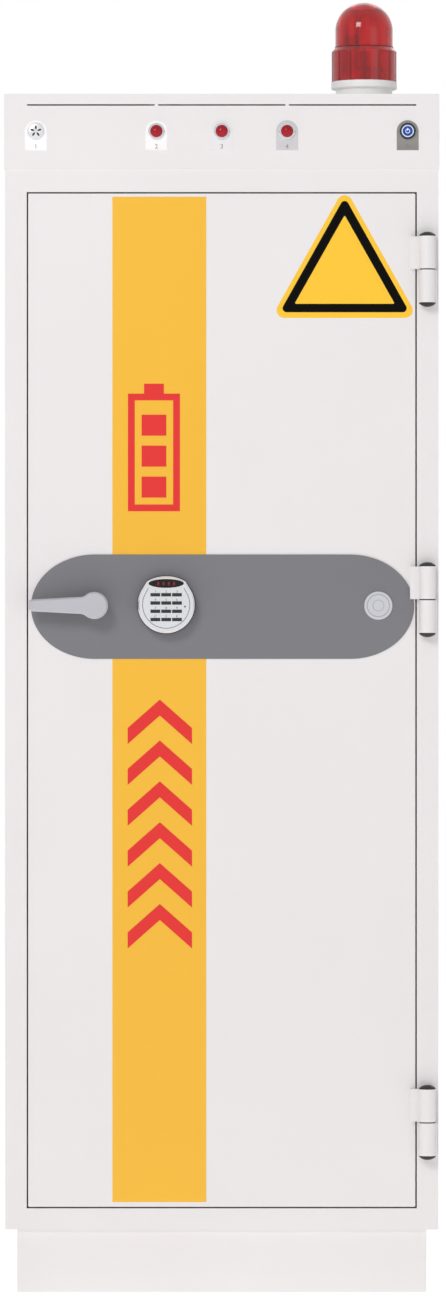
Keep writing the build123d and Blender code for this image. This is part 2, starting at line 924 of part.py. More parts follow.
def hinge_caps(way):
    """Domed caps on the outer ends of the knuckles, upward or downward."""
    with BuildPart() as caps:
        for level in hinge_heights:
            z = level + way * (half_gap + knuckle_length)
            with BuildSketch(facing(hinge_y)):
                rim = z + way * hinge_cap_rim
                dome = dome_points(knuckle_r, hinge_cap - hinge_cap_rim)
                with BuildLine():
                    Polyline(
                        (hinge_x, z + way * hinge_cap),
                        (hinge_x, z),
                        (hinge_x + knuckle_r, z),
                        (hinge_x + knuckle_r, rim),
                    )
                    ThreePointArc(*[(hinge_x + r, rim + way * rise) for r, rise in dome])
                make_face()
            revolve(axis=Axis((hinge_x, hinge_y, 0), (0, 0, 1)))
    return caps


save(hinge_caps(-1).part, "hinge_caps_lower")
save(hinge_caps(1).part, "hinge_caps_upper")

# ================= door =================
shaft_hole = spindle_r + spindle_fit
core_back = door_back - sheet
with BuildPart() as door_skin:
    block((door_left, door_right), (front, door_back), (door_base, door_top))
    block(
        (door_left + sheet, door_right - sheet),
        (front + sheet, door_back),
        (door_base + sheet, door_top - sheet),
        Mode.SUBTRACT,
    )
    rod_y(handle_x, handle_z, shaft_hole, front, front + sheet, Mode.SUBTRACT)
    corners = door_skin.edges().filter_by(Axis.Y).filter_by(lambda edge: edge.length > door_thickness - 1)
    fillet(corners, sheet)
save(door_skin.part, "door_skin")

with BuildPart() as door_core:
    block(
        (door_left + sheet, door_right - sheet),
        (front + sheet, core_back),
        (door_base + sheet, door_top - sheet),
    )
    rod_y(handle_x, handle_z, hub_r / 2, front + sheet, core_back, Mode.SUBTRACT)
save(door_core.part, "door_core")

with BuildPart() as door_back_plate:
    block(
        (door_left + sheet, door_right - sheet),
        (core_back, door_back),
        (door_base + sheet, door_top - sheet),
    )
    rod_y(handle_x, handle_z, shaft_hole, core_back, door_back, Mode.SUBTRACT)
save(door_back_plate.part, "door_back_plate")

with BuildPart() as door_inner_cover:
    block((plug_left, plug_right), (door_back, plug_back), (plug_base, plug_top))
    fillet(door_inner_cover.edges().filter_by(Axis.Y), 3 * sheet)
    chamfer(door_inner_cover.faces().sort_by(Axis.Y)[-1].edges(), sheet)
    block(
        (plug_left + sheet, plug_right - sheet),
        (door_back, plug_back - sheet),
        (plug_base + sheet, plug_top - sheet),
        Mode.SUBTRACT,
    )
    for height in bolt_heights:
        rod_x(bolt_y, height, bolt_r + guide_fit, plug_left, plug_left + sheet, Mode.SUBTRACT)
    for face in (plug_base, plug_top - sheet):
        rod_z(handle_x, bolt_y, rod_r + guide_fit, face, face + sheet, Mode.SUBTRACT)
save(door_inner_cover.part, "door_inner_cover")

with BuildPart() as fascia_plate:
    with BuildSketch(facing(front)):
        left = fascia_left + fascia_end
        right = fascia_right - fascia_end
        with Locations(((left + right) / 2, fascia_z)):
            Rectangle(right - left, 2 * fascia_half_height)
        with Locations((left, fascia_z), (right, fascia_z)):
            Ellipse(fascia_end, fascia_half_height)
        with Locations((handle_x, handle_z)):
            Circle(shaft_hole, mode=Mode.SUBTRACT)
    extrude(amount=fascia_thickness)
    for level in hinge_heights:
        leaf = (level + half_gap - swing_gap, level + half_gap + knuckle_length + swing_gap)
        block((hinge_x - leaf_reach - swing_gap, side), (fascia_front, front), leaf, Mode.SUBTRACT)
save(fascia_plate.part, "fascia_plate")

with BuildPart() as badge_disc:
    rod_y(badge_x, handle_z, badge_r, fascia_front - badge_thickness, fascia_front)
    chamfer(badge_disc.faces().sort_by(Axis.Y)[0].edges(), badge_thickness / 3)
save(badge_disc.part, "badge_disc")

# ================= lever handle and boltwork =================
cam_front = door_back + cam_gap
cam_back = cam_front + cam_thickness
link_front = cam_back + cam_gap
link_back = link_front + link_thickness
lever_back = fascia_front - lever_standoff
with BuildPart() as lever_handle:
    with BuildSketch(facing(lever_back)) as lever_outline:
        with Locations((handle_x, handle_z)):
            Circle(hub_r)
        tip_x = handle_x - lever_length
        with BuildLine():
            Polyline(
                (handle_x, handle_z + lever_root / 2),
                (tip_x, handle_z + lever_tip / 2),
                (tip_x, handle_z - lever_tip / 2),
                (handle_x, handle_z - lever_root / 2),
                close=True,
            )
        make_face()
        fillet(lever_outline.vertices().group_by(Axis.X)[0], lever_tip_corner)
        corner_x = handle_x - sqrt(hub_r**2 - (lever_root / 2) ** 2)
        inner_corners = lever_outline.vertices().filter_by(lambda v: abs(v.X - corner_x) < lever_flare / 10)
        fillet(inner_corners, lever_flare)
    extrude(amount=lever_thickness)
    chamfer(lever_handle.faces().sort_by(Axis.Y)[0].edges(), lever_thickness / 5)
    turn_y(
        handle_x,
        handle_z,
        (
            (0, lever_back),
            (0.8 * hub_r, lever_back),
            (0.7 * hub_r, fascia_front - 4),
            (hub_r, fascia_front - 3),
            (hub_r, fascia_front - seal_gap),
            (0, fascia_front - seal_gap),
        ),
    )
    rod_y(handle_x, handle_z, spindle_r, lever_back, fascia_front, Mode.SUBTRACT)
save(lever_handle.part, "lever_handle")

with BuildPart() as spindle:
    rod_y(handle_x, handle_z, spindle_r, lever_back, cam_back + cam_gap / 2)
save(spindle.part, "spindle")


def spiral(turn, offset, ahead=0):
    """A point of a cam slot after a share of the handle's travel, offset across and ahead."""
    r = cam_pin_orbit + bolt_travel * turn
    rate = -radians(handle_travel)
    angle = rate * turn
    along = (
        bolt_travel * cos(angle) - r * rate * sin(angle),
        bolt_travel * sin(angle) + r * rate * cos(angle),
    )
    size = hypot(*along)
    across = (ahead * along[0] - offset * along[1], ahead * along[1] + offset * along[0])
    return (r * cos(angle) + across[0] / size, r * sin(angle) + across[1] / size)


slot_half = cam_pin_r + cam_pin_fit
steps = 10
over = 0.02
turns = [-over + (1 + 2 * over) * i / steps for i in range(steps + 1)]
with BuildPart() as cam_plate:
    with BuildSketch(facing(cam_back)):
        with Locations((handle_x, handle_z)):
            Circle(cam_r)
            Circle(spindle_r, mode=Mode.SUBTRACT)
    extrude(amount=cam_thickness)
    for pin_angle in (90, 180, 270):
        with BuildSketch(facing(cam_back)):
            with Locations(Location((handle_x, handle_z), pin_angle)):
                with BuildSketch(Plane.XY, mode=Mode.PRIVATE) as slot:
                    with BuildLine():
                        outer = Spline(*[spiral(turn, slot_half) for turn in turns])
                        inner = Spline(*[spiral(turn, -slot_half) for turn in turns])
                        ThreePointArc(outer @ 1, spiral(turns[-1], 0, slot_half), inner @ 1)
                        ThreePointArc(inner @ 0, spiral(turns[0], 0, -slot_half), outer @ 0)
                    make_face()
                add(slot.sketch)
        extrude(amount=cam_thickness, mode=Mode.SUBTRACT)
save(cam_plate.part, "cam_plate")

pin_front = cam_front + 1
bar_left = plug_left + sheet + bolt_travel + cam_gap
bar_right = bar_left + link_width
lug = cam_pin_r + 4
with BuildPart() as side_bolt_bar:
    pin_x = handle_x - cam_pin_orbit
    reach = max(bolt_offsets) + 2 * bolt_r
    block((bar_left, bar_right), (link_front, link_back), (handle_z - reach, handle_z + reach))
    block((bar_right, pin_x + lug), (link_front, link_back), (handle_z - lug, handle_z + lug))
    rod_y(pin_x, handle_z, cam_pin_r, pin_front, link_front)
    for height in bolt_heights:
        rod_x(bolt_y, height, bolt_r, plug_left - bolt_stand, bar_right)
    chamfer(side_bolt_bar.faces().sort_by(Axis.X)[: len(bolt_heights)].edges(), 1)
save(side_bolt_bar.part, "side_bolt_bar")


def locking_rod(way, end):
    """A rod that runs from its lug at the cam to an end of the door."""
    with BuildPart() as rod:
        pin_z = handle_z + way * cam_pin_orbit
        lug_end = handle_z + way * (cam_r + lug)
        zs = sorted((pin_z - way * lug, lug_end))
        block((handle_x - lug, handle_x + lug), (link_front, link_back), zs)
        rod_y(handle_x, pin_z, cam_pin_r, pin_front, link_front)
        rod_z(handle_x, bolt_y, rod_r, *sorted((lug_end - way * lug, end + way * bolt_stand)))
    return rod


save(locking_rod(1, plug_top).part, "top_locking_rod")
save(locking_rod(-1, plug_base).part, "bottom_locking_rod")

with BuildPart() as lock_case:
    block((keypad_x - 45, keypad_x + 45), (door_back, door_back + 30), (keypad_z - 35, keypad_z + 35))
    fillet(lock_case.edges().filter_by(Axis.Y), 4)
save(lock_case.part, "lock_case")

# ================= keypad =================
base_front = fascia_front - keypad_base_depth
housing_front = base_front - keypad_depth


def keypad_outline(grow):
    """The round keypad with its shallow arched top, as a sketch grown by an amount."""
    r = keypad_r + grow
    shoulder = (keypad_shoulder_x + 0.7 * grow, keypad_shoulder_z + 0.7 * grow)
    tangent = atan2(shoulder[1], shoulder[0]) - acos(r / hypot(*shoulder))
    with BuildSketch(Plane.XY, mode=Mode.PRIVATE) as outline:
        with BuildLine():
            right = (r * cos(tangent), r * sin(tangent))
            left = (-right[0], right[1])
            ThreePointArc(left, (0, -r), right)
            Line(right, shoulder)
            ThreePointArc(shoulder, (0, r), (-shoulder[0], shoulder[1]))
            Line((-shoulder[0], shoulder[1]), left)
        make_face()
    return outline.sketch


with BuildPart() as keypad_base:
    with BuildSketch(facing(fascia_front)):
        with Locations((keypad_x, keypad_z)):
            add(keypad_outline(keypad_base_lip))
    extrude(amount=keypad_base_depth)
save(keypad_base.part, "keypad_base")

key_spots = [
    (keypad_x + key_pitch_x * (column - 1), keypad_z - key_centre_drop + key_pitch_z * (1.5 - row))
    for row in range(4)
    for column in range(3)
]
with BuildPart() as keypad_housing:
    with BuildSketch(facing(base_front)):
        with Locations((keypad_x, keypad_z)):
            add(keypad_outline(0))
    extrude(amount=keypad_depth)
    chamfer(keypad_housing.faces().sort_by(Axis.Y)[0].edges(), keypad_wall)
    with BuildSketch(facing(base_front)):
        with Locations((keypad_x, keypad_z)):
            add(keypad_outline(-keypad_wall))
    extrude(amount=keypad_depth - keypad_wall, mode=Mode.SUBTRACT)
    with BuildSketch(facing(housing_front)):
        with Locations((keypad_x, keypad_z)):
            add(keypad_outline(-keypad_rim - keypad_wall))
            add(keypad_outline(-keypad_rim - keypad_wall - keypad_groove), mode=Mode.SUBTRACT)
        with Locations((keypad_x, keypad_z + display_rise)):
            Ellipse(
                display_half_width + keypad_groove,
                display_half_height + keypad_groove,
                mode=Mode.SUBTRACT,
            )
    extrude(amount=-keypad_groove, mode=Mode.SUBTRACT)
    with BuildSketch(facing(housing_front)):
        with Locations(*key_spots):
            Rectangle(key_width + 2 * key_fit, key_height + 2 * key_fit)
        with Locations((keypad_x, keypad_z + display_rise)):
            Ellipse(display_half_width, display_half_height)
    extrude(amount=-keypad_wall, mode=Mode.SUBTRACT)
save(keypad_housing.part, "keypad_housing")

with BuildPart() as keypad_display:
    with BuildSketch(facing(housing_front + keypad_wall)):
        with Locations((keypad_x, keypad_z + display_rise)):
            Ellipse(display_half_width, display_half_height)
    extrude(amount=keypad_wall + 0.4)
save(keypad_display.part, "keypad_display")

key_names = ("1", "2", "3", "4", "5", "6", "7", "8", "9", "clear", "0", "enter")
key_back = housing_front + keypad_wall + key_fit
for (key_x, key_z), key_name in zip(key_spots, key_names):
    with BuildPart() as key:
        flange = (key_width / 2 + key_flange, key_height / 2 + key_flange)
        block((key_x - key_width / 2, key_x + key_width / 2), (housing_front - key_proud, key_back),
              (key_z - key_height / 2, key_z + key_height / 2))
        fillet(key.faces().sort_by(Axis.Y)[0].edges(), key_proud / 3)
        block((key_x - flange[0], key_x + flange[0]), (key_back, key_back + key_flange),
              (key_z - flange[1], key_z + flange[1]))
    save(key.part, f"key_{key_name}")
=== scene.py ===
import bpy
from math import acos, atan2, cos, hypot, pi, radians, sin
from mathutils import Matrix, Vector


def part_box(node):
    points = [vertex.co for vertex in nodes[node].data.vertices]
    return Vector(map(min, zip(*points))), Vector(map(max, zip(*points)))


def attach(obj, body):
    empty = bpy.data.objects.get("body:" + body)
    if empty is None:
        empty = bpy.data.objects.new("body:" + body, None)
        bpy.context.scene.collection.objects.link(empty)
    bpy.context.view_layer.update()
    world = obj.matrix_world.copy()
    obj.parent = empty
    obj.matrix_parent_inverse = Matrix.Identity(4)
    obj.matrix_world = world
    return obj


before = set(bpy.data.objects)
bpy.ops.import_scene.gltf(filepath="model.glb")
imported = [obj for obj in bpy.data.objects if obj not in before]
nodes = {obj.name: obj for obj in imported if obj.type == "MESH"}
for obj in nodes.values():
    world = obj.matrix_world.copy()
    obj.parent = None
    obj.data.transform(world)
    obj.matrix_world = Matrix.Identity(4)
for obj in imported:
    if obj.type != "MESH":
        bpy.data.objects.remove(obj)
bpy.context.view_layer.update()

inkDepth = 0.0002  # thickness of the films and inks laid on a face
typeDepth = 0.00015
pieceSmoothing, nodeSmoothing = 35, 30  # degrees


def toLinear(code):  # sRGB hex to linear values
    parts = [int(code[i:i + 2], 16) / 255 for i in (1, 3, 5)]
    return [p / 12.92 if p <= 0.04045 else ((p + 0.055) / 1.055) ** 2.4 for p in parts] + [1.0]


def addNode(tree, kind, inputs=None, **settings):  # one shader node with its settings and constant inputs
    node = tree.nodes.new(kind)
    for key, value in settings.items():
        setattr(node, key, value)
    for key, value in (inputs or {}).items():
        node.inputs[key].default_value = value
    return node


# mottle varies tone and gloss in broad patches, bump gives fine relief, scales are in features per metre
def newMaterial(name, color, roughness, metallic=0.0, coat=0.0, bump=0.0, bumpScale=400,
                mottle=0.0, mottleScale=6, transmission=0.0, ior=1.45, emission=None,
                emissionStrength=0.0, stretch=(1, 1, 1), specular=0.5):
    material = bpy.data.materials.new(name)
    material.use_nodes = True
    tree = material.node_tree
    shader = tree.nodes["Principled BSDF"]
    shader.inputs["Base Color"].default_value = toLinear(color)
    shader.inputs["Roughness"].default_value = roughness
    shader.inputs["Metallic"].default_value = metallic
    shader.inputs["Coat Weight"].default_value = coat
    shader.inputs["Transmission Weight"].default_value = transmission
    shader.inputs["IOR"].default_value = ior
    shader.inputs["Specular IOR Level"].default_value = specular
    if emission:
        shader.inputs["Emission Color"].default_value = toLinear(emission)
        shader.inputs["Emission Strength"].default_value = emissionStrength
    if mottle or bump:
        place = addNode(tree, "ShaderNodeTexCoord")
        scaled = addNode(tree, "ShaderNodeMapping", {"Scale": stretch})
        tree.links.new(place.outputs["Object"], scaled.inputs["Vector"])
    if mottle:
        patch = {"low": 0.3, "high": 0.7, "gloss": 0.12}  # span of the noise, and the change of roughness
        broad = addNode(tree, "ShaderNodeTexNoise",
                        {"Scale": mottleScale, "Detail": 4.0, "Roughness": 0.55})
        tree.links.new(scaled.outputs[0], broad.inputs["Vector"])
        span = addNode(tree, "ShaderNodeMapRange", {"From Min": patch["low"], "From Max": patch["high"],
                                                    "To Min": 1 - mottle, "To Max": 1 + mottle})
        tree.links.new(broad.outputs[0], span.inputs["Value"])
        tint = addNode(tree, "ShaderNodeHueSaturation", {"Color": toLinear(color)})
        tree.links.new(span.outputs[0], tint.inputs["Value"])
        tree.links.new(tint.outputs[0], shader.inputs["Base Color"])
        rough = addNode(tree, "ShaderNodeMapRange", {"From Min": patch["low"], "From Max": patch["high"],
                                                     "To Min": roughness * (1 - patch["gloss"]),
                                                     "To Max": roughness * (1 + patch["gloss"])})
        tree.links.new(broad.outputs[0], rough.inputs["Value"])
        tree.links.new(rough.outputs[0], shader.inputs["Roughness"])
    if bump:
        fine = addNode(tree, "ShaderNodeTexNoise", {"Scale": bumpScale, "Detail": 2.0})
        tree.links.new(scaled.outputs[0], fine.inputs["Vector"])
        relief = addNode(tree, "ShaderNodeBump", {"Strength": bump, "Distance": 0.0004})
        tree.links.new(fine.outputs[0], relief.inputs["Height"])
        tree.links.new(relief.outputs[0], shader.inputs["Normal"])
    return material


def dress(names, material):
    for name in names:
        mesh = nodes[name].data
        mesh.materials.clear()
        mesh.materials.append(material)


def smoothed(piece, angle):
    bpy.ops.object.select_all(action="DESELECT")
    piece.select_set(True)
    bpy.context.view_layer.objects.active = piece
    bpy.ops.object.shade_smooth_by_angle(angle=radians(angle))


def finished(piece, name, material, body):  # names, dresses and settles a new piece, then lets it ride
    piece.name = name
    piece.data.name = name
    piece.data.materials.clear()
    piece.data.materials.append(material)
    bpy.ops.object.select_all(action="DESELECT")
    piece.select_set(True)
    bpy.context.view_layer.objects.active = piece
    bpy.ops.object.transform_apply(location=True, rotation=True, scale=True)
    smoothed(piece, pieceSmoothing)
    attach(piece, body)


def joinedPieces(parts):
    bpy.ops.object.select_all(action="DESELECT")
    for part in parts:
        part.select_set(True)
    bpy.context.view_layer.objects.active = parts[0]
    if len(parts) > 1:
        bpy.ops.object.join()
    return bpy.context.object


def box(x, y, z):  # a block between two limits on each axis
    bpy.ops.object.select_all(action="DESELECT")
    bpy.ops.mesh.primitive_cube_add(size=1, location=[(a[0] + a[1]) / 2 for a in (x, y, z)])
    piece = bpy.context.object
    piece.scale = [a[1] - a[0] for a in (x, y, z)]
    bpy.ops.object.transform_apply(location=True, rotation=True, scale=True)
    return piece


def films(name, rects, y, material, body):  # thin ink blocks in one piece, standing out from depth y
    blocks = [box((x0, x1), (y - inkDepth, y), (z0, z1)) for x0, x1, z0, z1 in rects]
    finished(joinedPieces(blocks), name, material, body)


def flatOutline(points, y, depth):  # a flat plate with an outline in x and z, from depth y outward
    bpy.ops.object.select_all(action="DESELECT")
    bpy.ops.mesh.primitive_circle_add(vertices=len(points), radius=1, fill_type="NGON",
                                      rotation=(pi / 2, 0, 0))
    piece = bpy.context.object
    bpy.ops.object.transform_apply(location=True, rotation=True, scale=True)
    for vertex, (x, z) in zip(piece.data.vertices, points):
        vertex.co = (x, y, z)
    bpy.ops.object.mode_set(mode="EDIT")
    bpy.ops.mesh.select_all(action="SELECT")
    bpy.ops.mesh.extrude_region_move(TRANSFORM_OT_translate={"value": (0, -depth, 0)})
    bpy.ops.mesh.select_all(action="SELECT")
    bpy.ops.mesh.normals_make_consistent(inside=False)
    bpy.ops.object.mode_set(mode="OBJECT")
    return piece


def turned(profile, steps, center, axis):  # spins (radius, height) points into a closed skin
    bpy.ops.object.select_all(action="DESELECT")
    bpy.ops.mesh.primitive_circle_add(vertices=len(profile), radius=1, fill_type="NOTHING")
    piece = bpy.context.object
    for vertex, (r, h) in zip(piece.data.vertices, profile):
        place = Vector((r, 0, h)) if axis == "Z" else Vector((r, -h, 0))
        vertex.co = Vector(center) + place
    bpy.ops.object.mode_set(mode="EDIT")
    bpy.ops.mesh.select_all(action="SELECT")
    turnAxis = (0, 0, 1) if axis == "Z" else (0, 1, 0)
    bpy.ops.mesh.spin(steps=steps, angle=2 * pi, center=center, axis=turnAxis, use_auto_merge=True)
    bpy.ops.mesh.select_all(action="SELECT")
    bpy.ops.mesh.remove_doubles(threshold=0.00002)
    bpy.ops.mesh.dissolve_degenerate(threshold=0.000005)
    bpy.ops.mesh.select_all(action="SELECT")
    bpy.ops.mesh.normals_make_consistent(inside=False)
    bpy.ops.object.mode_set(mode="OBJECT")
    return piece


def ringProfile(inner, outer, low, high):  # square section of a turned ring
    return [(inner, low), (outer, low), (outer, high), (inner, high)]


def roundedTriangle(middle, base, top, half, radius, steps=10):  # upright triangle with round corners
    corners = [Vector((middle - half, base)), Vector((middle + half, base)), Vector((middle, top))]
    points = []
    for index, corner in enumerate(corners):
        before = (corners[index - 1] - corner).normalized()
        after = (corners[(index + 1) % 3] - corner).normalized()
        inward = (before + after).normalized()
        halfAngle = before.angle(after) / 2
        reach = radius / (sin(halfAngle) / cos(halfAngle))
        arcCenter = corner + inward * radius / sin(halfAngle)
        first = corner + before * reach - arcCenter
        last = corner + after * reach - arcCenter
        for step in range(steps + 1):
            mixed = first.lerp(last, step / steps).normalized() * radius
            points.append(tuple(arcCenter + mixed))
    return points


def lettering(name, text, place, size, material, body):  # flat type on a face, read from the front
    bpy.ops.object.select_all(action="DESELECT")
    bpy.ops.object.text_add(location=place, rotation=(pi / 2, 0, 0))
    piece = bpy.context.object
    piece.data.body = text
    piece.data.size = size
    piece.data.align_x = "CENTER"
    piece.data.extrude = typeDepth / 2
    piece.data.resolution_u = 3
    bpy.ops.object.convert(target="MESH")
    finished(bpy.context.object, name, material, body)


def areaLight(name, location, target, size, power):
    data = bpy.data.lights.new(name, "AREA")
    data.shape = "RECTANGLE"
    data.size, data.size_y = size, size
    data.energy = power
    lamp = bpy.data.objects.new(name, data)
    bpy.context.scene.collection.objects.link(lamp)
    lamp.location = location
    lamp.rotation_euler = (Vector(target) - Vector(location)).to_track_quat("-Z", "Y").to_euler()


print("materials")
grain = {"bump": 0.15, "bumpScale": 300, "stretch": (1, 1, 14)}  # brushed sideways, so drawn out in x and y
paint = newMaterial("white powder coat", "#eae6e5", 0.42, coat=0.12, bump=0.12, bumpScale=900,
                    mottle=0.012, mottleScale=3)  # baked powder: a faint orange-peel sheen
linerPaint = newMaterial("pale grey powder coat", "#d2d3d1", 0.5, bump=0.1, bumpScale=900,
                         mottle=0.02)  # baked powder: flatter and a little duller inside
board = newMaterial("mineral fire board", "#cfcabb", 0.9, bump=0.5, bumpScale=250,
                    mottle=0.06)  # sawn board: rough, fibrous and without gloss
seal = newMaterial("door seal rubber", "#2a2b2d", 0.75, bump=0.3, bumpScale=600)  # extruded: soft and dull
steel = newMaterial("zinc plated steel", "#b4b6b8", 0.32, metallic=1.0, bump=0.1,
                    mottle=0.06, mottleScale=18)  # plated sheet: broad spangles about 5 cm across
blackPlastic = newMaterial("black moulded plastic", "#18191b", 0.5, bump=0.35,
                           bumpScale=1500)  # sparked mould: a fine matt texture
palePlastic = newMaterial("off-white moulded plastic", "#dcdbd8", 0.4, bump=0.1, bumpScale=1200,
                          mottle=0.01)  # moulded ABS: smooth with a soft gloss
basePlasticWithPaintedGlow = newMaterial("white beacon base with painted glow", "#f4f3f1", 0.4, bump=0.1, bumpScale=1200,
                          emission="#ffffff",
                          emissionStrength=0.06)  # moulded white; its faint glow is painted light that makes it brighter
greyPaint = newMaterial("satin grey paint", "#77777b", 0.46, bump=0.16, bumpScale=1000,
                        mottle=0.015, mottleScale=5)  # sprayed: an even satin face
alloy = newMaterial("satin painted alloy", "#bab9bf", 0.38, metallic=0.2, bump=0.12, bumpScale=1600,
                    mottle=0.02)  # die-cast and lacquered: a fine metallic grey
silver = newMaterial("silver keypad lacquer", "#d9dadc", 0.24, metallic=0.85,
                     mottle=0.02)  # sprayed silver on plastic: bright soft reflections
window = newMaterial("dark display window", "#10060a", 0.15,
                     specular=0.35)  # tinted acrylic: glossy, near black
labelMetal = newMaterial("satin label metal", "#eeebeb", 0.34, metallic=0.45, mottle=0.03,
                         **grain)  # brushed plate: a pale sideways grain
labelDark = newMaterial("dark label metal", "#8b8783", 0.34, metallic=0.4, mottle=0.04,
                        **grain)  # the same plate, darker
labelMid = newMaterial("grey label metal", "#c6c3c5", 0.34, metallic=0.4, mottle=0.04,
                       **grain)  # the same plate, grey
labelLight = newMaterial("pale label metal", "#e2dfe0", 0.34, metallic=0.3,
                         mottle=0.03)  # the same plate, nearly bare
chrome = newMaterial("bright chrome", "#c9cbce", 0.1, metallic=1.0, mottle=0.02)  # plated: mirrors the room
satinChrome = newMaterial("satin chrome", "#d6d6d8", 0.3,
                          metallic=0.8)  # plated over blasted metal: soft shine
mirror = newMaterial("smoked reflector", "#6f6266", 0.15,
                     metallic=0.9)  # vapour-coated: dark and bright by turns
lampRed = newMaterial("red lamp lens", "#a3061a", 0.2, coat=0.15, specular=0.25, mottle=0.08,
                      mottleScale=60)  # moulded polycarbonate: deep red, small highlights
beaconRed = newMaterial("clear red beacon dome", "#d8101c", 0.06, transmission=0.7, ior=1.3, coat=0.5,
                        mottle=0.3, mottleScale=90,
                        stretch=(1, 1, 0.03))  # moulded clear lens: the light and dark bands that its inner flutes throw are painted as upright streaks of tone
ribRed = newMaterial("deep red moulded rib", "#7a0c14", 0.2, coat=0.3)  # thicker lens: a darker line
blueCap = newMaterial("lit blue button", "#1a3c8c", 0.25, emission="#1b46a8",
                      emissionStrength=0.2)  # moulded cap: lit from behind
ringWithPaintedGlow = newMaterial("silver ring with painted glow", "#c3d2ea", 0.2, metallic=0.6, emission="#8fb4f0",
                      emissionStrength=0.22)  # polished ring: its glow is painted light, standing in for the button's light caught in it
litWhite = newMaterial("lit white mark", "#dfe9ff", 0.3, emission="#dfe9ff",
                       emissionStrength=0.5)  # clear mark in the cap: the lamp shows through
circuit = newMaterial("green circuit lacquer", "#1f6b3f", 0.35, mottle=0.05,
                      mottleScale=60)  # solder resist: glossy green over copper
lampUnit = newMaterial("lamp holder ceramic", "#e3dcc4", 0.4)  # fired and unglazed: warm and smooth
yellow = newMaterial("yellow film", "#f5ba2f", 0.4, coat=0.1, mottle=0.012,
                     mottleScale=2)  # printed vinyl: even
signYellow = newMaterial("yellow sign film", "#fcc627", 0.4, coat=0.1)  # printed vinyl: a clearer yellow
signBlack = newMaterial("black sign ink", "#060505", 0.7, specular=0.08)  # screen-printed: dense and matt
markRed = newMaterial("red marking film", "#e2231f", 0.4, coat=0.1)  # cut vinyl: a flat warm red
gapDark = newMaterial("shadow gap black", "#3a3a3c", 0.8)  # painted shade: a hole's dark mouth
grooveShadePaint = newMaterial("painted keypad groove shade", "#7b7c80", 0.4,
                      metallic=0.3)  # painted shade laid in the moulded groove: a grey line
legendInk = newMaterial("grey key legend", "#4a4b4f", 0.5)  # pad-printed: thin dark grey
numberInk = newMaterial("grey number ink", "#77767a", 0.5)  # screen-printed: thin mid grey
digitRed = newMaterial("dim red display digits", "#8c1420", 0.4, emission="#a01020",
                       emissionStrength=0.25)  # light-emitting segments: a dim glow
badgeInk = newMaterial("medallion ring ink", "#a5a5aa", 0.35,
                       metallic=0.3)  # printed: a shade darker than the disc
badge = newMaterial("pale medallion enamel", "#c9c9ce", 0.3, metallic=0.2,
                    coat=0.3)  # enamelled disc: glossy pale grey

dress(["plinth", "outer_casing", "front_frame", "hood_shell", "hood_rear_cover",
       "hinge_frame_knuckles", "hinge_door_knuckles", "door_skin"], paint)
dress(["inner_liner", "door_inner_cover", "door_back_plate"], linerPaint)
dress(["fire_boards", "door_core"], board)
dress(["frame_seal"], seal)
dress(["shelf_uprights", "shelves", "shelf_clips", "cam_plate", "side_bolt_bar", "top_locking_rod",
       "bottom_locking_rod", "spindle", "hood_screws", "lock_case", "power_supply"], steel)
dress(["socket_strips", "cable_gland", "keypad_base", "hinge_caps_lower", "hinge_caps_upper",
       "hinge_pins", "button_body"], blackPlastic)
dress([name for name in nodes if name.startswith("key_")], blackPlastic)
dress(["smoke_detector"], palePlastic)
dress(["beacon_base"], basePlasticWithPaintedGlow)
dress(["fascia_plate"], greyPaint)
dress(["lever_handle"], alloy)
dress(["keypad_housing"], silver)
dress(["badge_disc"], badge)
dress(["keypad_display"], window)
dress(["label_plates"], labelMetal)
dress(["lamp_holders"], chrome)
dress(["buzzer"], satinChrome)
dress(["beacon_reflector"], mirror)
dress(["lamp_lenses"], lampRed)
dress(["beacon_lens"], beaconRed)
dress(["power_button_cap"], blueCap)
dress(["control_board"], circuit)
dress(["beacon_lamp_and_motor"], lampUnit)
for node in nodes.values():
    smoothed(node, nodeSmoothing)

print("door films")
skinLow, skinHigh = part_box("door_skin")
fasciaLow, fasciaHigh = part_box("fascia_plate")
doorFace = skinLow.y
film = {"thickness": 0.0003, "left": -0.1766, "right": -0.0251, "foot": 0.0077, "head": 0.0052, "tuck": 0.02}
for label, heights in (("stripe_lower", (skinLow.z + film["foot"], fasciaLow.z + film["tuck"])),
                       ("stripe_upper", (fasciaHigh.z - film["tuck"], skinHigh.z - film["head"]))):
    piece = box((film["left"], film["right"]), (doorFace - film["thickness"], doorFace), heights)
    finished(piece, label, yellow, "door")

filmFace = doorFace - film["thickness"]
battery = {"x": -0.1095, "bottom": 1.262, "width": 0.084, "height": 0.19, "wall": 0.011,
           "capInset": 0.026, "capHeight": 0.016, "bars": 3, "barInset": 0.022, "barPitch": 0.05,
           "barHeight": 0.034}
left, right = battery["x"] - battery["width"] / 2, battery["x"] + battery["width"] / 2
low, high, wall = battery["bottom"], battery["bottom"] + battery["height"], battery["wall"]
bars = [(left, left + wall, low, high),
        (right - wall, right, low, high),
        (left + wall, right - wall, low, low + wall),
        (left + wall, right - wall, high - wall, high),
        (left + battery["capInset"], right - battery["capInset"], high, high + battery["capHeight"])]
for level in range(battery["bars"]):
    barLow = low + battery["barInset"] + battery["barPitch"] * level
    bars.append((left + battery["barInset"], right - battery["barInset"],
                 barLow, barLow + battery["barHeight"]))
films("battery_mark", bars, filmFace, markRed, "door")

chevron = {"x": -0.1, "half": 0.052, "rise": 0.046, "band": 0.026, "pitch": 0.066, "first": 0.556,
           "count": 6}
for index in range(chevron["count"]):
    foot = chevron["first"] + chevron["pitch"] * index
    tip, band = foot + chevron["rise"], chevron["band"]
    left, right = chevron["x"] - chevron["half"], chevron["x"] + chevron["half"]
    outline = [(left, foot + band), (chevron["x"], tip + band), (right, foot + band),
               (right, foot), (chevron["x"], tip), (left, foot)]
    finished(flatOutline(outline, filmFace, inkDepth), f"charge_chevron_{index + 1}", markRed, "door")

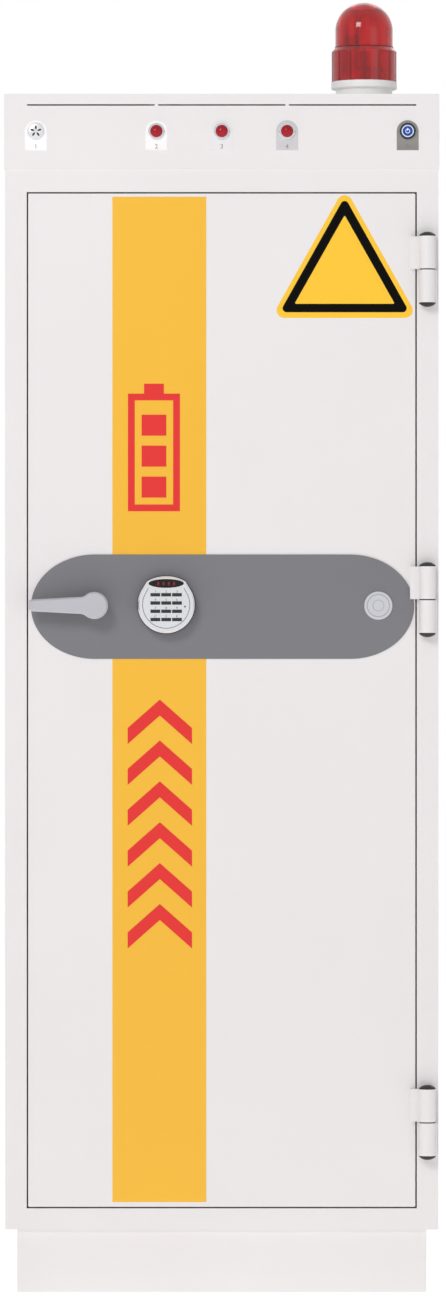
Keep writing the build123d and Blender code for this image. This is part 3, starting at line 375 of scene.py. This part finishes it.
signMiddle = 0.1984  # the bare sign: base, top, half width and corner radius of each layer
signLayers = (("sign_backing", 1.5742, 1.7852, 0.1188, 0.0125, signYellow),
              ("sign_border", 1.5834, 1.7698, 0.1048, 0.0065, signBlack),
              ("sign_field", 1.597, 1.7401, 0.0809, 0.0015, signYellow))
for layer, (name, base, top, half, radius, material) in enumerate(signLayers):
    outline = roundedTriangle(signMiddle, base, top, half, radius)
    finished(flatOutline(outline, doorFace - layer * inkDepth, inkDepth), name, material, "door")

print("keypad marks")
housingLow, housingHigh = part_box("keypad_housing")
housingMiddle = (housingLow.x + housingHigh.x) / 2
legendSize = 0.0056  # plain digits above the keys
keyMarks = {f"key_{digit}": str(digit) for digit in range(1, 10)}
keyMarks.update({"key_clear": "C", "key_0": "0", "key_enter": "E"})
for keyName, text in keyMarks.items():
    low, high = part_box(keyName)
    lettering("legend_" + keyName, text, ((low.x + high.x) / 2, housingLow.y, high.z),
              legendSize, legendInk, "door")

digits = {"count": 4, "pitch": 0.0085, "drop": 0.0028, "size": 0.0078}
low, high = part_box("keypad_display")
for index in range(digits["count"]):
    x = (low.x + high.x) / 2 + digits["pitch"] * (index - (digits["count"] - 1) / 2)
    lettering(f"display_digit_{index + 1}", "8", (x, low.y, (low.z + high.z) / 2 - digits["drop"]),
              digits["size"], digitRed, "door")

led = {"right": 0.0302, "z": 1.1079, "r": 0.0014, "depth": 0.0006, "sides": 24}
bpy.ops.mesh.primitive_cylinder_add(vertices=led["sides"], radius=led["r"], depth=led["depth"],
                                    rotation=(pi / 2, 0, 0),
                                    location=(housingMiddle + led["right"], housingLow.y, led["z"]))
finished(bpy.context.object, "keypad_led", gapDark, "door")

# painted shade in the groove around the keys follows the housing: an arc below, straight up to the ends
# beside the display
grooveShadeLine = {"z": 1.111, "r": 0.038, "half": 0.0006, "shoulder": (0.0255, 0.0321), "follow": 0.7,
            "end": 0.0268, "steps": 60, "sunk": 0.0001}
edges = []
for grow in (grooveShadeLine["half"], -grooveShadeLine["half"]):  # outer then inner edge of the line
    r = grooveShadeLine["r"] + grow
    shoulderX, shoulderZ = (value + grooveShadeLine["follow"] * grow for value in grooveShadeLine["shoulder"])
    tangent = atan2(shoulderZ, shoulderX) - acos(r / hypot(shoulderX, shoulderZ))
    meetX, meetZ = r * cos(tangent), r * sin(tangent)
    share = (grooveShadeLine["end"] - meetZ) / (shoulderZ - meetZ)
    tip = meetX + share * (shoulderX - meetX)
    sweep = pi + 2 * tangent
    turn = [tangent - sweep * step / grooveShadeLine["steps"] for step in range(grooveShadeLine["steps"] + 1)]
    arc = [(r * cos(angle), r * sin(angle)) for angle in turn]
    edges.append([(tip, grooveShadeLine["end"])] + arc + [(-tip, grooveShadeLine["end"])])
outline = [(housingMiddle + x, grooveShadeLine["z"] + z) for x, z in edges[0] + edges[1][::-1]]
piece = flatOutline(outline, housingLow.y + grooveShadeLine["sunk"], inkDepth)
finished(piece, "keypad_groove_shade", grooveShadePaint, "door")

print("hinge washers")
washer = {"x": 0.3316, "y": -0.334, "bore": 0.006, "r": 0.01295, "play": 0.0001, "steps": 48}
hingeGaps = ((1.6508, 1.6528), (1.1182, 1.1202), (0.2753, 0.2773))  # foot and head of each gap
for index, (low, high) in enumerate(hingeGaps):
    profile = ringProfile(washer["bore"], washer["r"], 0, high - low - 2 * washer["play"])
    piece = turned(profile, washer["steps"], (washer["x"], washer["y"], low + washer["play"]), "Z")
    finished(piece, f"hinge_gap_washer_{index + 1}", blackPlastic, "cabinet")

print("medallion and panel marks")
rings = {"sunk": 0.0001, "proud": 0.0004, "steps": 64}
low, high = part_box("badge_disc")
center = ((low.x + high.x) / 2, low.y, (low.z + high.z) / 2)
for name, outer, inner in (("medallion_outer_ring", 0.0186, 0.0172),
                           ("medallion_inner_ring", 0.0094, 0.0084)):
    profile = ringProfile(inner, outer, -rings["sunk"], rings["proud"])
    finished(turned(profile, rings["steps"], center, "Y"), name, badgeInk, "door")

# dark pieces laid in the five sound slots: painted shade in the holes
soundSlot = {"count": 5, "orbit": 0.0062, "halfWidth": 0.0016, "halfLength": 0.0032, "depth": 0.0002,
             "sides": 20}
low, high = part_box("buzzer")
center = ((low.x + high.x) / 2, (low.z + high.z) / 2)
slotShades = []
for index in range(soundSlot["count"]):
    turnedBy = 2 * pi * index / soundSlot["count"]
    angle = pi / 2 + turnedBy
    place = (center[0] + soundSlot["orbit"] * cos(angle), low.y - soundSlot["depth"] / 2,
             center[1] + soundSlot["orbit"] * sin(angle))
    bpy.ops.mesh.primitive_cylinder_add(vertices=soundSlot["sides"], radius=1, depth=1,
                                        rotation=(pi / 2, 0, 0), location=place)
    hole = bpy.context.object
    hole.scale = (soundSlot["halfWidth"], soundSlot["halfLength"], soundSlot["depth"])
    hole.rotation_euler = (pi / 2, -turnedBy, 0)
    bpy.ops.object.transform_apply(location=True, rotation=True, scale=True)
    slotShades.append(hole)
finished(joinedPieces(slotShades), "buzzer_slot_shade", gapDark, "cabinet")

collar = {"ribs": 14, "width": 0.0016, "proud": 0.0005, "height": 0.0478}
low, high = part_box("beacon_lens")
center = ((low.x + high.x) / 2, (low.y + high.y) / 2)
collarR = (high.x - low.x) / 2
ribs = []
for index in range(collar["ribs"]):
    angle = 2 * pi * (index + 0.5) / collar["ribs"]
    place = (center[0] + collarR * cos(angle), center[1] + collarR * sin(angle),
             low.z + collar["height"] / 2)
    bpy.ops.mesh.primitive_cube_add(size=1, location=place, rotation=(0, 0, angle))
    bpy.context.object.scale = (2 * collar["proud"], collar["width"], collar["height"])
    ribs.append(bpy.context.object)
finished(joinedPieces(ribs), "beacon_collar_ribs", ribRed, "cabinet")

shoulder = {"inner": 0.0469, "outer": 0.0479, "z": 2.019, "band": 0.0012, "steps": 96}
profile = ringProfile(shoulder["inner"], shoulder["outer"], 0, shoulder["band"])
piece = turned(profile, shoulder["steps"], (center[0], center[1], shoulder["z"]), "Z")
finished(piece, "beacon_shoulder_line", ribRed, "cabinet")

powerMark = {"inner": 0.0029, "outer": 0.0037, "proud": 0.0003, "steps": 40,
             "barHalf": 0.0005, "barFoot": 0.0005, "barHead": 0.0048}
low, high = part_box("power_button_cap")
center = ((low.x + high.x) / 2, low.y, (low.z + high.z) / 2)
profile = ringProfile(powerMark["inner"], powerMark["outer"], 0, powerMark["proud"])
finished(turned(profile, powerMark["steps"], center, "Y"), "power_mark_ring", litWhite, "power_button")
bar = (center[0] - powerMark["barHalf"], center[0] + powerMark["barHalf"],
       center[2] + powerMark["barFoot"], center[2] + powerMark["barHead"])
films("power_mark_bar", [bar], low.y - powerMark["proud"], litWhite, "power_button")

buttonRing = {"sunk": 0.001, "steps": 48,
              "profile": [(0.0075, 0), (0.0103, 0), (0.0103, 0.0006), (0.0096, 0.0014),
                          (0.0082, 0.0014), (0.0075, 0.0006)]}
low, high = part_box("button_body")
center = ((low.x + high.x) / 2, low.y + buttonRing["sunk"], (low.z + high.z) / 2)
piece = turned(buttonRing["profile"], buttonRing["steps"], center, "Y")
finished(piece, "button_ring_with_painted_glow", ringWithPaintedGlow, "cabinet")

# plain numbers under the five devices, and a tint laid over three of their plates
plate = {"half": 0.0177, "foot": 1.8448, "archZ": 1.8755, "archSteps": 18, "hole": 0.0135,
         "sunk": 0.00005, "depth": 0.00015}
number = {"z": 1.8475, "size": 0.0105, "lift": 0.0001}
punchDepth, punchSides = 0.01, 64
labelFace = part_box("label_plates")[0].y
devices = ((-0.3001, None), (-0.1055, None), (0.0, labelLight), (0.1055, labelMid), (0.3001, labelDark))
for index, (x, tone) in enumerate(devices):
    lettering(f"panel_number_{index + 1}", str(index + 1), (x, labelFace - number["lift"], number["z"]),
              number["size"], numberInk, "cabinet")
    if tone:
        arch = [(x - plate["half"], plate["foot"]), (x + plate["half"], plate["foot"])]
        for step in range(plate["archSteps"] + 1):
            angle = pi * step / plate["archSteps"]
            arch.append((x + plate["half"] * cos(angle), plate["archZ"] + plate["half"] * sin(angle)))
        piece = flatOutline(arch, labelFace + plate["sunk"], plate["depth"])
        bpy.ops.mesh.primitive_cylinder_add(vertices=punchSides, radius=plate["hole"], depth=punchDepth,
                                            rotation=(pi / 2, 0, 0),
                                            location=(x, labelFace, plate["archZ"]))
        punch = bpy.context.object
        hole = piece.modifiers.new("device hole", "BOOLEAN")
        hole.operation, hole.object = "DIFFERENCE", punch
        bpy.context.view_layer.objects.active = piece
        bpy.ops.object.modifier_apply(modifier=hole.name)
        bpy.data.objects.remove(punch, do_unlink=True)
        finished(piece, f"label_tint_{index + 1}", tone, "cabinet")

print("stage")
floorLook = {"size": 60, "color": "#ffffff", "roughness": 0.9, "glow": 0.67}
bpy.ops.mesh.primitive_plane_add(size=floorLook["size"], location=(0, 0, 0))
floor = bpy.context.object
floor.name = "floor"
floor.data.materials.append(newMaterial("pale studio floor", floorLook["color"], floorLook["roughness"],
                                        emission=floorLook["color"], emissionStrength=floorLook["glow"]))

view = {"lens": 171.5, "sensor": 36, "clip": 200, "place": (0.002, -10.32, 1.038)}  # level, from the front
cameraData = bpy.data.cameras.new("camera")
cameraData.lens = view["lens"]
cameraData.sensor_width = view["sensor"]
cameraData.clip_end = view["clip"]
camera = bpy.data.objects.new("camera", cameraData)
bpy.context.scene.collection.objects.link(camera)
camera.location = view["place"]
camera.rotation_euler = (pi / 2, 0, 0)
bpy.context.scene.camera = camera

# place, target, size in metres and power in watts
areaLight("key light", (-2.4, -6.0, 4.6), (0, 0, 1.1), 2.2, 158)
areaLight("fill light", (4.0, -5.0, 2.0), (0, 0, 1.0), 3.0, 18)
areaLight("back light", (0.6, 4.2, 5.6), (0, 0, 1.5), 4.0, 42)

# soft cool light from all round, white wherever the room is seen directly, in metal or through glass
room = {"soft": (0.93, 0.94, 1.0, 1.0), "softStrength": 0.29,
        "white": (1.0, 1.0, 1.0, 1.0), "whiteStrength": 1.0}
world = bpy.data.worlds.new("studio")
bpy.context.scene.world = world
world.use_nodes = True
tree = world.node_tree
tree.nodes.clear()
rays = addNode(tree, "ShaderNodeLightPath")
seen = addNode(tree, "ShaderNodeMath", operation="MAXIMUM")
shown = addNode(tree, "ShaderNodeMath", operation="MAXIMUM")
soft = addNode(tree, "ShaderNodeBackground", {"Color": room["soft"], "Strength": room["softStrength"]})
white = addNode(tree, "ShaderNodeBackground", {"Color": room["white"], "Strength": room["whiteStrength"]})
mix = addNode(tree, "ShaderNodeMixShader")
out = addNode(tree, "ShaderNodeOutputWorld")
tree.links.new(rays.outputs["Is Camera Ray"], seen.inputs[0])
tree.links.new(rays.outputs["Is Transmission Ray"], seen.inputs[1])
tree.links.new(seen.outputs[0], shown.inputs[0])
tree.links.new(rays.outputs["Is Glossy Ray"], shown.inputs[1])
tree.links.new(shown.outputs[0], mix.inputs[0])
tree.links.new(soft.outputs[0], mix.inputs[1])
tree.links.new(white.outputs[0], mix.inputs[2])
tree.links.new(mix.outputs[0], out.inputs[0])

bpy.context.scene.view_settings.view_transform = "Standard"
